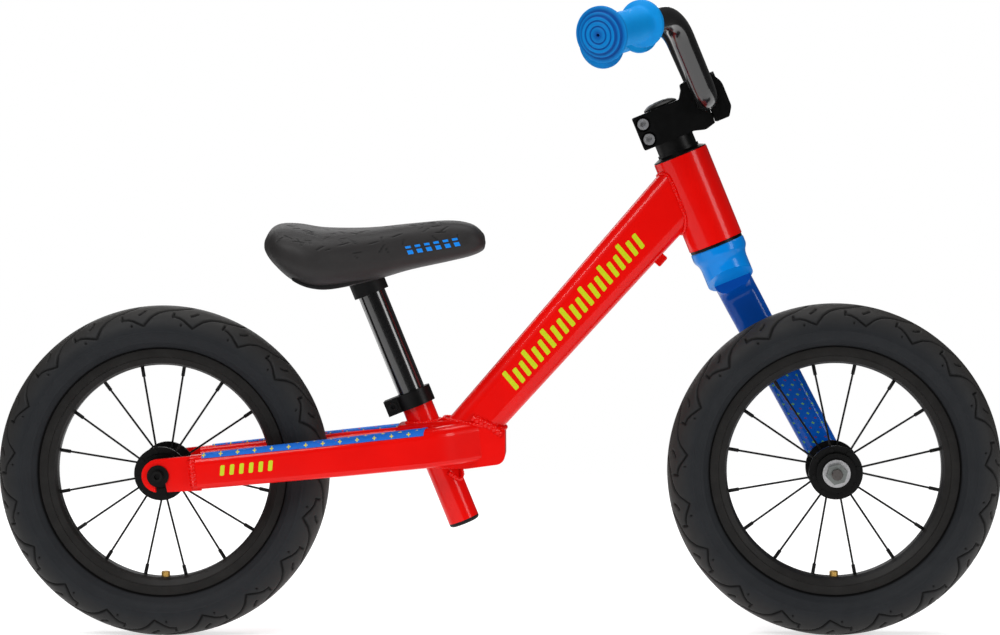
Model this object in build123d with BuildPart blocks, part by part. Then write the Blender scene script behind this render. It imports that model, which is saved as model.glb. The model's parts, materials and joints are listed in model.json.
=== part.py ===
from build123d import *
from math import atan2, cos, degrees, hypot, radians, sin
import os

# A child's balance bike, in millimetres and degrees.
# +X is forward, +Y is the rider's left and +Z is up.
# The origin is on the ground, midway between the two wheels and on the centre plane.

# Wheels
WHEELBASE = 615.0
TYRE_R = 152.5
TYRE_HALF_WIDTH = 25.0
TYRE_HALF_HEIGHT = 21.5
TYRE_WALL = 3.0
TUBE_WALL = 1.5
TUBE_GAP = 0.2
BEAD_OUTER = 11.4
BEAD_INNER = 9.2
BEAD_FOOT_R = 104.4
BEAD_SEAT_R = 113.7
THROAT_R = 117.0
RIM_EDGE_R = 113.5
RIM_STEP_R = 105.6
RIM_INNER_R = 97.9
RIM_FLOOR_R = 100.6
RIM_HALF_WIDTH = 14.0
TUBE_FOOT_R = 103.8
VALVE_R = 4.0
VALVE_TIP_R = 93.2

# Spokes and hubs
SPOKES = 16
SPOKE_R = 0.95
SPOKE_EYE_R = 1.05
SPOKE_HOLE_R = 1.1
SPOKE_HEAD_R = 1.9
SPOKE_CIRCLE_R = 20.5
SPOKE_RIM_OFFSET = 1.5
NIPPLE_R = 1.65
NIPPLE_HOLE_R = 1.75
NIPPLE_LENGTH = 12.0
NIPPLE_HEAD_R = 2.3
NIPPLE_HEAD = 1.2
FLANGE_R = 24.5
FLANGE_INNER = 22.5
FLANGE_OUTER = 26.0
HUB_RING_R = 18.0
HUB_BARREL_R = 15.0
HUB_HALF_LENGTH = 31.0
BEARING_R = 13.0
BEARING_FACE = 30.0
BEARING_WIDTH = 8.0
AXLE_R = 5.0
RUNNING_GAP = 0.05
SIDE_GAP = 0.3
SPACER_R = 8.0

# Steering axis, with its zero at the bottom face of the head tube
HEAD_LEAN = 22.0
HEAD_FOOT = (199.6, 0, 361.1)
HEAD_LENGTH = 85.8
HEAD_R = 25.5
HEAD_BORE_R = 18.0
HEADSET_BEARING_R = 20.9
HEADSET_BEARING_HEIGHT = 7.0
STEERER_R = 14.3
STEERER_BORE_R = 12.0
RACE_R = 15.0
CROWN_TOP = -2.8
STEM_BOTTOM = 101.8
STEM_TOP = 133.2
STEM_HALF_WIDTH = 19.0
BAR_R = 11.1
BAR_FORWARD = 40.5
BAR_HEIGHT = 124.6

# Fork
CROWN_WAIST_R = 21.8
CROWN_CUT_NEAR = -26.0
CROWN_CUT_FAR = -46.0
CROWN_BORE_DEPTH = -26.0
LEG_SIDE = 47.0
LEG_ROOT = (1.0, 0, -33.0)
LEG_BEND_R = 26.0
LEG_TOP_SIZE = (35.0, 27.0)
LEG_FOOT_SIZE = (30.0, 24.0)
LEG_CORNER_R = 9.0
LEG_BOSS_HALF = 13.2
LEG_WALL = 3.0

# Frame tubes
SEAT_LEAN = 21.8
SEAT_FOOT = (-31.9, 0, 107.5)
SEAT_TUBE_R = 14.3
SEAT_TUBE_BORE_R = 12.8
SEAT_TUBE_LENGTH = 127.0
POST_R = 12.7
POST_FOOT = 62.0
POST_TOP = 234.0
DOWN_LEAN = -41.8
DOWN_FOOT = (-28.2, 0, 187.6)
DOWN_WALL = 2.2
SHELL_HALF_WIDTH = 20.0
SHELL_WALL = 3.0
STAY_PITCH = 5.7
STAY_ORIGIN = (-272.0, 0, 155.8)
STAY_REAR = -5.0
STAY_HALF_WIDTH = 10.0
STAY_REAR_HALF_DEPTH = 15.6
STAY_FRONT_HALF_DEPTH = 18.4
STAY_TOP_ROUND = 9.0
STAY_FOOT_ROUND = 5.0
STAY_WALL = 2.5
SIDE_TOUCH = 0.05
DROPOUT_FACE = 39.0
DROPOUT_THICKNESS = 6.0
DROPOUT_R = 15.0
GRIP_TAPE = 0.8
GRIP_TAPE_FOOT = 12.4

# Seat clamp
COLLAR_R = 17.4
COLLAR_FOOT = 113.0
COLLAR_TOP = 127.6
CLAMP_BOLT_BACK = -20.4

# Handlebar, one side, from the stem outwards
BAR_FLAT_HALF = 36.0
BAR_RISER_TOP = (159.0, 85.0, 565.0)
BAR_END = (94.8, 207.0, 545.6)
BAR_WALL = 2.0
GRIP_LENGTH = 81.0

AXLE_X = WHEELBASE / 2
SIDES = (("right", -1), ("left", 1))

os.makedirs("parts", exist_ok=True)


def save(piece, name):
    """Label a finished piece and write it as its own file."""
    piece.part.label = name
    export_step(piece.part, f"parts/{name}.step")


def leaning_plane(origin, lean):
    """Plane whose normal leans back from vertical by lean degrees, with its x direction forward."""
    tilt = radians(lean)
    return Plane(origin=origin, x_dir=(cos(tilt), 0, sin(tilt)), z_dir=(-sin(tilt), 0, cos(tilt)))


def profile_plane(base):
    """Side-on plane through the axis of base: x stays forward, y runs up the axis."""
    return Plane(origin=base.origin, x_dir=base.x_dir, z_dir=(0, -1, 0))


def side_plane(y):
    """Upright plane at y, with x forward and y up; its normal points to the rider's right."""
    return Plane(origin=(0, y, 0), x_dir=(1, 0, 0), z_dir=(0, -1, 0))


def cross_axis(plane, x, z, y=0):
    """Plane across the bike at (x, z) of a leaning plane, with its normal to the rider's right."""
    return Plane(origin=plane.from_local_coords(Vector(x, y, z)), x_dir=plane.x_dir, z_dir=(0, -1, 0))


def both_sides(half):
    """Close an outline that is mirrored about its first coordinate."""
    return half + [(-a, b) for a, b in reversed(half) if a != 0]


HEAD = leaning_plane(HEAD_FOOT, HEAD_LEAN)
HEAD_SIDE = profile_plane(HEAD)
HEAD_AXIS = Axis(HEAD.origin, HEAD.z_dir)
SEAT = leaning_plane(SEAT_FOOT, SEAT_LEAN)
SEAT_SIDE = profile_plane(SEAT)
SEAT_AXIS = Axis(SEAT.origin, SEAT.z_dir)
DOWN = leaning_plane(DOWN_FOOT, DOWN_LEAN)
STAY = leaning_plane(STAY_ORIGIN, STAY_PITCH)


# ---------------------------------------------------------------- wheels

def wheel_plane(x):
    """Plane through an axle that holds a wheel's section: x across the bike, y outwards."""
    return Plane(origin=(x, 0, TYRE_R), x_dir=(0, 1, 0), z_dir=(1, 0, 0))


def axle_plane(x, y=0):
    """Plane square to an axle at y, with its normal to the rider's left."""
    return Plane(origin=(x, y, TYRE_R), x_dir=(0, 0, 1), z_dir=(0, 1, 0))


def spoke_plane(x, index):
    """Plane at a spoke's root, with its normal along the spoke towards the rim."""
    angle = radians((index + 0.5) * 360 / SPOKES)
    side = 1 if index % 2 else -1
    root_y = side * (FLANGE_INNER - SPOKE_R - 0.05)
    root = Vector(x + SPOKE_CIRCLE_R * cos(angle), root_y, TYRE_R + SPOKE_CIRCLE_R * sin(angle))
    tip = Vector(x + RIM_FLOOR_R * cos(angle), side * SPOKE_RIM_OFFSET, TYRE_R + RIM_FLOOR_R * sin(angle))
    return Plane(origin=root, x_dir=(-sin(angle), 0, cos(angle)), z_dir=(tip - root).normalized())


def spoke_eye(x, index, depth):
    """Plane at a spoke's hole in its flange, depth mm out from the inner face, facing outwards."""
    angle = radians((index + 0.5) * 360 / SPOKES)
    side = 1 if index % 2 else -1
    forward, up = SPOKE_CIRCLE_R * cos(angle), SPOKE_CIRCLE_R * sin(angle)
    centre = (x + forward, side * (FLANGE_INNER + depth), TYRE_R + up)
    return Plane(origin=centre, x_dir=(1, 0, 0), z_dir=(0, side, 0))


SPOKE_LENGTH = hypot(RIM_FLOOR_R - SPOKE_CIRCLE_R, FLANGE_INNER - SPOKE_R - 0.05 - SPOKE_RIM_OFFSET)
TYRE_CENTRE_R = TYRE_R - TYRE_HALF_HEIGHT


def tube_section(inset):
    """Section of the inner tube: an oval in the tyre with a foot down between the beads."""
    with Locations((0, TYRE_CENTRE_R)):
        Ellipse(TYRE_HALF_WIDTH - TYRE_WALL - inset, TYRE_HALF_HEIGHT - TYRE_WALL - inset)
    foot = TUBE_FOOT_R + inset
    with Locations((0, (foot + THROAT_R) / 2)):
        Rectangle(2 * (BEAD_INNER - TUBE_GAP - inset), THROAT_R - foot)


def make_wheel(name, x):
    """Build every piece of one wheel about the axle at x."""
    spin = Axis((x, 0, TYRE_R), (0, 1, 0))

    with BuildPart() as tyre:
        with BuildSketch(wheel_plane(x)):
            with Locations((0, TYRE_CENTRE_R)):
                Ellipse(TYRE_HALF_WIDTH, TYRE_HALF_HEIGHT)
                Ellipse(TYRE_HALF_WIDTH - TYRE_WALL, TYRE_HALF_HEIGHT - TYRE_WALL, mode=Mode.SUBTRACT)
            with Locations((0, BEAD_FOOT_R)):
                Rectangle(2 * BEAD_INNER, 2 * (THROAT_R - BEAD_FOOT_R), mode=Mode.SUBTRACT)
            edge = (BEAD_OUTER + TYRE_HALF_WIDTH) / 2
            bead = (BEAD_INNER + BEAD_OUTER) / 2
            with Locations((-edge, BEAD_SEAT_R - 10), (edge, BEAD_SEAT_R - 10)):
                Rectangle(TYRE_HALF_WIDTH - BEAD_OUTER, 20, mode=Mode.SUBTRACT)
            with Locations((-bead, (BEAD_FOOT_R + BEAD_SEAT_R) / 2), (bead, (BEAD_FOOT_R + BEAD_SEAT_R) / 2)):
                Rectangle(BEAD_OUTER - BEAD_INNER, BEAD_SEAT_R - BEAD_FOOT_R + 1)
        revolve(axis=spin)
    save(tyre, f"{name}_tyre")

    with BuildPart() as inner_tube:
        with BuildSketch(wheel_plane(x)):
            tube_section(TUBE_GAP)
        revolve(axis=spin)
        with BuildSketch(wheel_plane(x)):
            tube_section(TUBE_GAP + TUBE_WALL)
        revolve(axis=spin, mode=Mode.SUBTRACT)
    save(inner_tube, f"{name}_inner_tube")

    with BuildPart() as valve:
        with BuildSketch(Plane(origin=(x, 0, TYRE_R - VALVE_TIP_R), z_dir=(0, 0, -1))):
            Circle(VALVE_R)
        extrude(amount=TUBE_FOOT_R - VALVE_TIP_R)
        chamfer(valve.faces().sort_by(Axis.Z)[-1].edges(), 0.8)
    save(valve, f"{name}_valve")

    rim_half = [
        (0, RIM_INNER_R), (6.0, RIM_INNER_R + 0.3), (10.6, RIM_INNER_R + 2.4), (13.2, RIM_STEP_R - 0.7),
        (13.2, RIM_STEP_R), (RIM_HALF_WIDTH, RIM_STEP_R + 0.6), (RIM_HALF_WIDTH, RIM_EDGE_R),
        (12.2, RIM_EDGE_R), (11.6, RIM_EDGE_R - 0.8), (11.6, RIM_FLOOR_R + 3.2), (9.2, RIM_FLOOR_R + 0.8),
        (0, RIM_FLOOR_R),
    ]
    with BuildPart() as rim:
        with BuildSketch(wheel_plane(x)):
            with BuildLine():
                Polyline(both_sides(rim_half), close=True)
            make_face()
        revolve(axis=spin)
        for index in range(SPOKES):
            with BuildSketch(spoke_plane(x, index).offset(SPOKE_LENGTH - NIPPLE_LENGTH)):
                Circle(NIPPLE_HOLE_R)
            extrude(amount=2 * NIPPLE_LENGTH, mode=Mode.SUBTRACT)
        with BuildSketch(Plane(origin=(x, 0, TYRE_R - VALVE_TIP_R), z_dir=(0, 0, -1))):
            Circle(VALVE_R + RUNNING_GAP)
        extrude(amount=TUBE_FOOT_R - VALVE_TIP_R, mode=Mode.SUBTRACT)
    save(rim, f"{name}_rim")

    with BuildPart() as spokes:
        for index in range(SPOKES):
            with BuildSketch(spoke_plane(x, index).offset(-SPOKE_R)):
                Circle(SPOKE_R)
            extrude(amount=SPOKE_LENGTH + SPOKE_R)
            with BuildSketch(spoke_eye(x, index, -2 * SPOKE_R)):
                Circle(SPOKE_EYE_R)
            extrude(amount=FLANGE_OUTER - FLANGE_INNER + 2 * SPOKE_R + 0.1)
            with BuildSketch(spoke_eye(x, index, FLANGE_OUTER - FLANGE_INNER + 0.05)):
                Circle(SPOKE_HEAD_R)
            extrude(amount=1.0)
    save(spokes, f"{name}_spokes")

    with BuildPart() as nipples:
        for index in range(SPOKES):
            seat = spoke_plane(x, index)
            with BuildSketch(seat.offset(SPOKE_LENGTH - NIPPLE_LENGTH)):
                Circle(NIPPLE_R)
                Circle(SPOKE_R, mode=Mode.SUBTRACT)
            extrude(amount=NIPPLE_LENGTH)
            with BuildSketch(seat.offset(SPOKE_LENGTH)):
                Circle(NIPPLE_R)
            extrude(amount=1.1)
            with BuildSketch(seat.offset(SPOKE_LENGTH + 1.1)):
                Circle(NIPPLE_HEAD_R)
            extrude(amount=NIPPLE_HEAD)
    save(nipples, f"{name}_spoke_nipples")

    bearing_seat = BEARING_FACE - BEARING_WIDTH
    hub_half = [
        (bearing_seat, BEARING_R), (HUB_HALF_LENGTH, BEARING_R), (HUB_HALF_LENGTH, HUB_RING_R),
        (FLANGE_OUTER, HUB_RING_R), (FLANGE_OUTER, FLANGE_R), (FLANGE_INNER, FLANGE_R),
        (FLANGE_INNER, HUB_BARREL_R),
    ]
    with BuildPart() as hub:
        with BuildSketch(wheel_plane(x)):
            with BuildLine():
                outline = [(-a, b) for a, b in hub_half] + list(reversed(hub_half))
                bore = [(bearing_seat, SPACER_R), (-bearing_seat, SPACER_R)]
                Polyline(outline + bore, close=True)
            make_face()
        revolve(axis=spin)
        for index in range(SPOKES):
            with BuildSketch(spoke_eye(x, index, -1)):
                Circle(SPOKE_HOLE_R)
            extrude(amount=FLANGE_OUTER - FLANGE_INNER + 2, mode=Mode.SUBTRACT)
    save(hub, f"{name}_hub_shell")

    with BuildPart() as bearings:
        for _, sign in SIDES:
            with BuildSketch(axle_plane(x, sign * (BEARING_FACE - BEARING_WIDTH / 2))):
                Circle(BEARING_R)
                Circle(AXLE_R + RUNNING_GAP, mode=Mode.SUBTRACT)
            extrude(amount=BEARING_WIDTH / 2, both=True)
    save(bearings, f"{name}_hub_bearings")


make_wheel("front", AXLE_X)
make_wheel("rear", -AXLE_X)


# ---------------------------------------------------------------- frame

with BuildPart() as head_tube:
    with BuildSketch(HEAD):
        Circle(HEAD_R)
        Circle(HEAD_BORE_R, mode=Mode.SUBTRACT)
    extrude(amount=HEAD_LENGTH)
    for bottom in (0, HEAD_LENGTH - HEADSET_BEARING_HEIGHT - SIDE_GAP):
        with BuildSketch(HEAD.offset(bottom)):
            Circle(HEADSET_BEARING_R)
        extrude(amount=HEADSET_BEARING_HEIGHT + SIDE_GAP, mode=Mode.SUBTRACT)
save(head_tube, "head_tube")

BEARING_FEET = (SIDE_GAP, HEAD_LENGTH - SIDE_GAP - HEADSET_BEARING_HEIGHT)
with BuildPart() as headset_bearings:
    for bottom in BEARING_FEET:
        with BuildSketch(HEAD.offset(bottom)):
            Circle(HEADSET_BEARING_R)
            Circle(RACE_R + RUNNING_GAP, mode=Mode.SUBTRACT)
        extrude(amount=HEADSET_BEARING_HEIGHT)
save(headset_bearings, "headset_bearings")

with BuildPart() as shell_block:
    with BuildSketch(side_plane(0)):
        with BuildLine():
            FilletPolyline(
                (-90, 161), (-30, 155.5), (7, 160.5), (7, 192), (-44, 200), (-94, 195),
                radius=(6, 20, 9, 2, 20, 6), close=True,
            )
        make_face()
    extrude(amount=SHELL_HALF_WIDTH, both=True)

with BuildPart() as junction_shell:
    add(shell_block.part)
    with BuildSketch(side_plane(0)):
        with BuildLine():
            Polyline((-84, 165), (-30, 160), (3, 164.5), (3, 188.5), (-44, 195.5), (-88, 191), close=True)
        make_face()
    extrude(amount=SHELL_HALF_WIDTH - SHELL_WALL, both=True, mode=Mode.SUBTRACT)
    with BuildSketch(SEAT):
        Circle(SEAT_TUBE_R)
    extrude(amount=SEAT_TUBE_LENGTH, mode=Mode.SUBTRACT)
save(junction_shell, "junction_shell")

with BuildPart() as seat_tube:
    with BuildSketch(SEAT):
        Circle(SEAT_TUBE_R)
        Circle(SEAT_TUBE_BORE_R, mode=Mode.SUBTRACT)
    extrude(amount=SEAT_TUBE_LENGTH - 1)
    with BuildSketch(SEAT_SIDE):
        with Locations((-SEAT_TUBE_R, SEAT_TUBE_LENGTH - 12)):
            Rectangle(8, 24)
    extrude(amount=1.2, both=True, mode=Mode.SUBTRACT)
save(seat_tube, "seat_tube")

with BuildPart() as seat_tube_plug:
    with BuildSketch(SEAT):
        Circle(SEAT_TUBE_BORE_R - 0.1)
    extrude(amount=7)
    with BuildSketch(SEAT):
        Circle(SEAT_TUBE_R)
    extrude(amount=-3.6)
    fillet(seat_tube_plug.faces().sort_by(SEAT_AXIS)[0].edges(), 3.0)
save(seat_tube_plug, "seat_tube_plug")


def down_section(height, inset):
    """Rounded-box section of the down tube at a height along it; it deepens towards the head tube."""
    depth = 42 + 9.5 * height / 304
    width = 38 + 2 * height / 304
    with BuildSketch(DOWN.offset(height)) as section:
        RectangleRounded(depth - 2 * inset, width - 2 * inset, 12 - inset)
    return section.sketch


with BuildPart() as down_tube:
    loft([down_section(-15, 0), down_section(304, 0)])
    loft([down_section(-15, DOWN_WALL), down_section(304, DOWN_WALL)], mode=Mode.SUBTRACT)
    with BuildSketch(HEAD.offset(-10)):
        Circle(HEAD_R)
    extrude(amount=HEAD_LENGTH + 20, mode=Mode.SUBTRACT)
    add(shell_block.part, mode=Mode.SUBTRACT)
    with BuildSketch(SEAT):
        Circle(SEAT_TUBE_R)
    extrude(amount=SEAT_TUBE_LENGTH, mode=Mode.SUBTRACT)
save(down_tube, "down_tube")

with BuildPart() as down_tube_boss:
    with BuildSketch(profile_plane(DOWN)):
        with Locations((27.5, 236)):
            Rectangle(7, 11)
    extrude(amount=5, both=True)
    fillet(down_tube_boss.faces().sort_by(Axis(DOWN.origin, DOWN.x_dir))[-1].edges(), 1.5)
    loft([down_section(-15, 0), down_section(304, 0)], mode=Mode.SUBTRACT)
save(down_tube_boss, "down_tube_boss")


def stay_section(base, half_depth, grow):
    """Rounded section of a chainstay on a plane across its route; grow thickens it."""
    with BuildSketch(base) as section:
        Rectangle(2 * (STAY_HALF_WIDTH + grow), 2 * (half_depth + grow))
        fillet(section.vertices().group_by(Axis.Y)[-1], STAY_TOP_ROUND + grow)
        fillet(section.vertices().group_by(Axis.Y)[0], STAY_FOOT_ROUND + grow)
    return section.sketch


def stay_body(sign, grow, start=STAY_REAR):
    """Solid of a chainstay: straight beside the tyre, then bending in to the shell, deeper at the front."""
    with BuildPart() as body:
        with BuildLine() as route:
            corners = [(start, 39), (130, 41), (218, 35), (262, 5)]
            FilletPolyline(
                *[STAY.from_local_coords(Vector(x, sign * y, 0)) for x, y in corners],
                radius=(250, 55),
            )
        path = route.line
        rear = Plane(origin=path @ 0, x_dir=(0, 1, 0), z_dir=STAY.x_dir)
        heading = path % 1
        front = Plane(origin=path @ 1, x_dir=STAY.z_dir.cross(heading), z_dir=heading)
        sections = [
            stay_section(rear, STAY_REAR_HALF_DEPTH, grow),
            stay_section(front, STAY_FRONT_HALF_DEPTH, grow),
        ]
        sweep(sections=sections, path=path, multisection=True)
        with BuildSketch(side_plane(0)):
            with Locations((0, TYRE_R)):
                Rectangle(400, 200)
        extrude(amount=SHELL_HALF_WIDTH + SIDE_TOUCH, both=True, mode=Mode.SUBTRACT)
    return body.part


for side, sign in SIDES:
    with BuildPart() as dropout:
        with BuildSketch(side_plane(-DROPOUT_FACE if sign < 0 else DROPOUT_FACE + DROPOUT_THICKNESS)):
            with Locations((-AXLE_X, TYRE_R)):
                Circle(DROPOUT_R)
            with Locations((-275, 154.6)):
                Rectangle(14, 31)
            make_hull()
            with Locations(Location((-AXLE_X, TYRE_R), 12)):
                Circle(AXLE_R + 0.1, mode=Mode.SUBTRACT)
                with Locations((0, -12)):
                    Rectangle(2 * AXLE_R + 0.2, 24, mode=Mode.SUBTRACT)
        extrude(amount=DROPOUT_THICKNESS)
    save(dropout, f"dropout_{side}")

    envelope = stay_body(sign, 0)
    with BuildPart() as chainstay:
        add(envelope)
        add(stay_body(sign, -STAY_WALL, STAY_REAR + STAY_WALL), mode=Mode.SUBTRACT)
        add(dropout.part, mode=Mode.SUBTRACT)
    save(chainstay, f"chainstay_{side}")

    with BuildPart() as foot_grip:
        add(stay_body(sign, GRIP_TAPE))
        add(envelope, mode=Mode.SUBTRACT)
        with BuildSketch(STAY.offset(GRIP_TAPE_FOOT)):
            with BuildLine():
                FilletPolyline(
                    (6, sign * 35), (6, sign * 60), (205, sign * 56), (213, sign * 28), (135, sign * 35),
                    radius=(2, 2, 2, 2, 60), close=True,
                )
            make_face()
        extrude(amount=20, mode=Mode.INTERSECT)
    save(foot_grip, f"foot_grip_{side}")


# ---------------------------------------------------------------- rear axle

DROPOUT_OUTER = DROPOUT_FACE + DROPOUT_THICKNESS
WASHER_THICKNESS = 2.0
REAR_BOLT_R = 3.0

with BuildPart() as rear_axle:
    with BuildSketch(axle_plane(-AXLE_X)):
        Circle(AXLE_R)
        Circle(REAR_BOLT_R, mode=Mode.SUBTRACT)
    extrude(amount=DROPOUT_OUTER - 0.2, both=True)
save(rear_axle, "rear_axle")

with BuildPart() as rear_axle_spacers:
    for _, sign in SIDES:
        with BuildSketch(axle_plane(-AXLE_X, sign * (BEARING_FACE + SIDE_GAP + DROPOUT_FACE) / 2)):
            Circle(SPACER_R)
            Circle(AXLE_R, mode=Mode.SUBTRACT)
        extrude(amount=(DROPOUT_FACE - BEARING_FACE - SIDE_GAP) / 2, both=True)
save(rear_axle_spacers, "rear_axle_spacers")

with BuildPart() as rear_axle_washers:
    for _, sign in SIDES:
        with BuildSketch(axle_plane(-AXLE_X, sign * (DROPOUT_OUTER + WASHER_THICKNESS / 2))):
            Circle(9.9)
            Circle(REAR_BOLT_R, mode=Mode.SUBTRACT)
        extrude(amount=WASHER_THICKNESS / 2, both=True)
save(rear_axle_washers, "rear_axle_washers")

with BuildPart() as rear_axle_bolts:
    head_foot = DROPOUT_OUTER + WASHER_THICKNESS
    for _, sign in SIDES:
        facing = Plane(origin=(-AXLE_X, sign * head_foot, TYRE_R), x_dir=(1, 0, 0), z_dir=(0, sign, 0))
        with BuildSketch(facing):
            Circle(AXLE_R)
        extrude(amount=6)
        with BuildSketch(facing):
            Circle(REAR_BOLT_R)
        extrude(amount=-22)
        with BuildSketch(facing.offset(3)):
            RegularPolygon(2.9, 6)
        extrude(amount=4, mode=Mode.SUBTRACT)
save(rear_axle_bolts, "rear_axle_bolts")


# ---------------------------------------------------------------- seat clamp and seat

BACK_SLIT = 1.5
EAR_BACK = -27.2

with BuildPart() as seat_clamp_collar:
    with BuildSketch(SEAT.offset(COLLAR_FOOT)):
        Circle(COLLAR_R)
        with Locations(((EAR_BACK - 14) / 2, 0)):
            Rectangle(-14 - EAR_BACK, 21)
    extrude(amount=COLLAR_TOP - COLLAR_FOOT)
    with BuildSketch(SEAT.offset(COLLAR_FOOT)):
        Circle(SEAT_TUBE_R)
        with Locations((-22, 0)):
            Rectangle(22, 2 * BACK_SLIT)
    extrude(amount=SEAT_TUBE_LENGTH - 1 - COLLAR_FOOT, mode=Mode.SUBTRACT)
    with BuildSketch(SEAT.offset(COLLAR_FOOT)):
        Circle(POST_R + 0.1)
        with Locations((-22, 0)):
            Rectangle(22, 2 * BACK_SLIT)
    extrude(amount=COLLAR_TOP - COLLAR_FOOT, mode=Mode.SUBTRACT)
    bolt_line = cross_axis(SEAT, CLAMP_BOLT_BACK, (COLLAR_FOOT + COLLAR_TOP) / 2)
    with BuildSketch(bolt_line):
        Circle(2.5)
    extrude(amount=20, both=True, mode=Mode.SUBTRACT)
    with BuildSketch(bolt_line.offset(7)):
        Circle(4.6)
    extrude(amount=6, mode=Mode.SUBTRACT)
save(seat_clamp_collar, "seat_clamp_collar")

with BuildPart() as seat_clamp_bolt:
    with BuildSketch(bolt_line.offset(-10)):
        Circle(2.5)
    extrude(amount=17)
    with BuildSketch(bolt_line.offset(7)):
        Circle(4.3)
    extrude(amount=4.2)
    with BuildSketch(bolt_line.offset(8.7)):
        RegularPolygon(2.3, 6)
    extrude(amount=4, mode=Mode.SUBTRACT)
save(seat_clamp_bolt, "seat_clamp_bolt")

with BuildPart() as seat_post:
    with BuildSketch(SEAT.offset(POST_FOOT)):
        Circle(POST_R)
        Circle(POST_R - 1.8, mode=Mode.SUBTRACT)
    extrude(amount=POST_TOP - POST_FOOT)
save(seat_post, "seat_post")

# Saddle sections from the back to the nose: place, half width, top and underside
SADDLE = [
    (-209.5, 38, 367.5, 357), (-201, 60, 378.5, 346), (-183, 71, 379, 331), (-158, 71.5, 375.5, 322.8),
    (-118, 52, 375.8, 329.5), (-80, 35, 379.3, 339.5), (-45, 28.5, 382, 346), (-23, 24.5, 378.5, 350.5),
    (-12, 17, 367, 357),
]
BASE_INSET = 16.0
BASE_PROUD = 0.8
BASE_DEPTH = 5.5


def saddle_section(x, half_width, top, bottom, corner):
    """Rounded section of a saddle piece, square to the bike's length at x."""
    with BuildSketch(Plane(origin=(x, 0, (top + bottom) / 2), x_dir=(0, 1, 0), z_dir=(1, 0, 0))) as section:
        RectangleRounded(2 * half_width, top - bottom, corner)
    return section.sketch


with BuildPart() as saddle_base:
    loft([
        saddle_section(x, width - BASE_INSET, bottom - BASE_PROUD + BASE_DEPTH, bottom - BASE_PROUD, 2)
        for x, width, top, bottom in SADDLE[2:-2]
    ])

with BuildPart() as saddle_pad:
    loft([saddle_section(x, width, top, bottom, 0.42 * (top - bottom)) for x, width, top, bottom in SADDLE])
    full_saddle = saddle_pad.part
    add(saddle_base.part, mode=Mode.SUBTRACT)
save(saddle_pad, "saddle_pad")
save(saddle_base, "saddle_base")

with BuildPart() as saddle_socket:
    with BuildSketch(SEAT.offset(224)):
        Circle(16.5)
    extrude(amount=27.5)
    add(full_saddle, mode=Mode.SUBTRACT)
    add(saddle_base.part, mode=Mode.SUBTRACT)
    with BuildSketch(SEAT.offset(210)):
        Circle(POST_R)
    extrude(amount=POST_TOP - 210, mode=Mode.SUBTRACT)
save(saddle_socket, "saddle_socket")


# ---------------------------------------------------------------- headset and fork

def add_ring(outer, inner, bottom, top):
    """Add a ring about the steering axis to the piece being built."""
    with BuildSketch(HEAD.offset(bottom)) as section:
        Circle(outer)
        Circle(inner, mode=Mode.SUBTRACT)
    extrude(section.sketch, amount=top - bottom, dir=HEAD.z_dir)


SLIP_R = STEERER_R + RUNNING_GAP

with BuildPart() as steerer_tube:
    add_ring(STEERER_R, STEERER_BORE_R, CROWN_BORE_DEPTH, STEM_TOP - 1.7)
save(steerer_tube, "steerer_tube")

with BuildPart() as crown_race:
    add_ring(HEAD_R - 0.7, SLIP_R, CROWN_TOP, -SIDE_GAP - 0.1)
    add_ring(RACE_R, SLIP_R, -SIDE_GAP - 0.1, 6)
save(crown_race, "crown_race")

with BuildPart() as compression_ring:
    add_ring(RACE_R, SLIP_R, HEAD_LENGTH - 6, HEAD_LENGTH + SIDE_GAP)
save(compression_ring, "compression_ring")

COVER_FOOT = HEAD_LENGTH + SIDE_GAP
SPACER_FOOT = 91.8
with BuildPart() as headset_cover:
    with BuildSketch(HEAD_SIDE):
        with BuildLine():
            Polyline(
                (SLIP_R, COVER_FOOT), (HEAD_R - 0.4, COVER_FOOT), (HEAD_R - 0.4, COVER_FOOT + 0.8),
                (20.2, COVER_FOOT + 3.0), (19.4, COVER_FOOT + 3.4), (19.4, SPACER_FOOT),
                (SLIP_R, SPACER_FOOT), close=True,
            )
        make_face()
    revolve(axis=HEAD_AXIS)
save(headset_cover, "headset_cover")

with BuildPart() as headset_spacer:
    add_ring(18.2, SLIP_R, SPACER_FOOT, STEM_BOTTOM)
save(headset_spacer, "headset_spacer")

LEG_CORNER = HEAD.from_local_coords(Vector(*LEG_ROOT))
LEG_RUN = AXLE_X - LEG_CORNER.X
LEG_DROP = LEG_CORNER.Z - TYRE_R
LEG_LENGTH = hypot(LEG_RUN, LEG_DROP)
LEG = leaning_plane((AXLE_X, LEG_SIDE, TYRE_R), degrees(atan2(LEG_RUN, LEG_DROP)))

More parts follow.
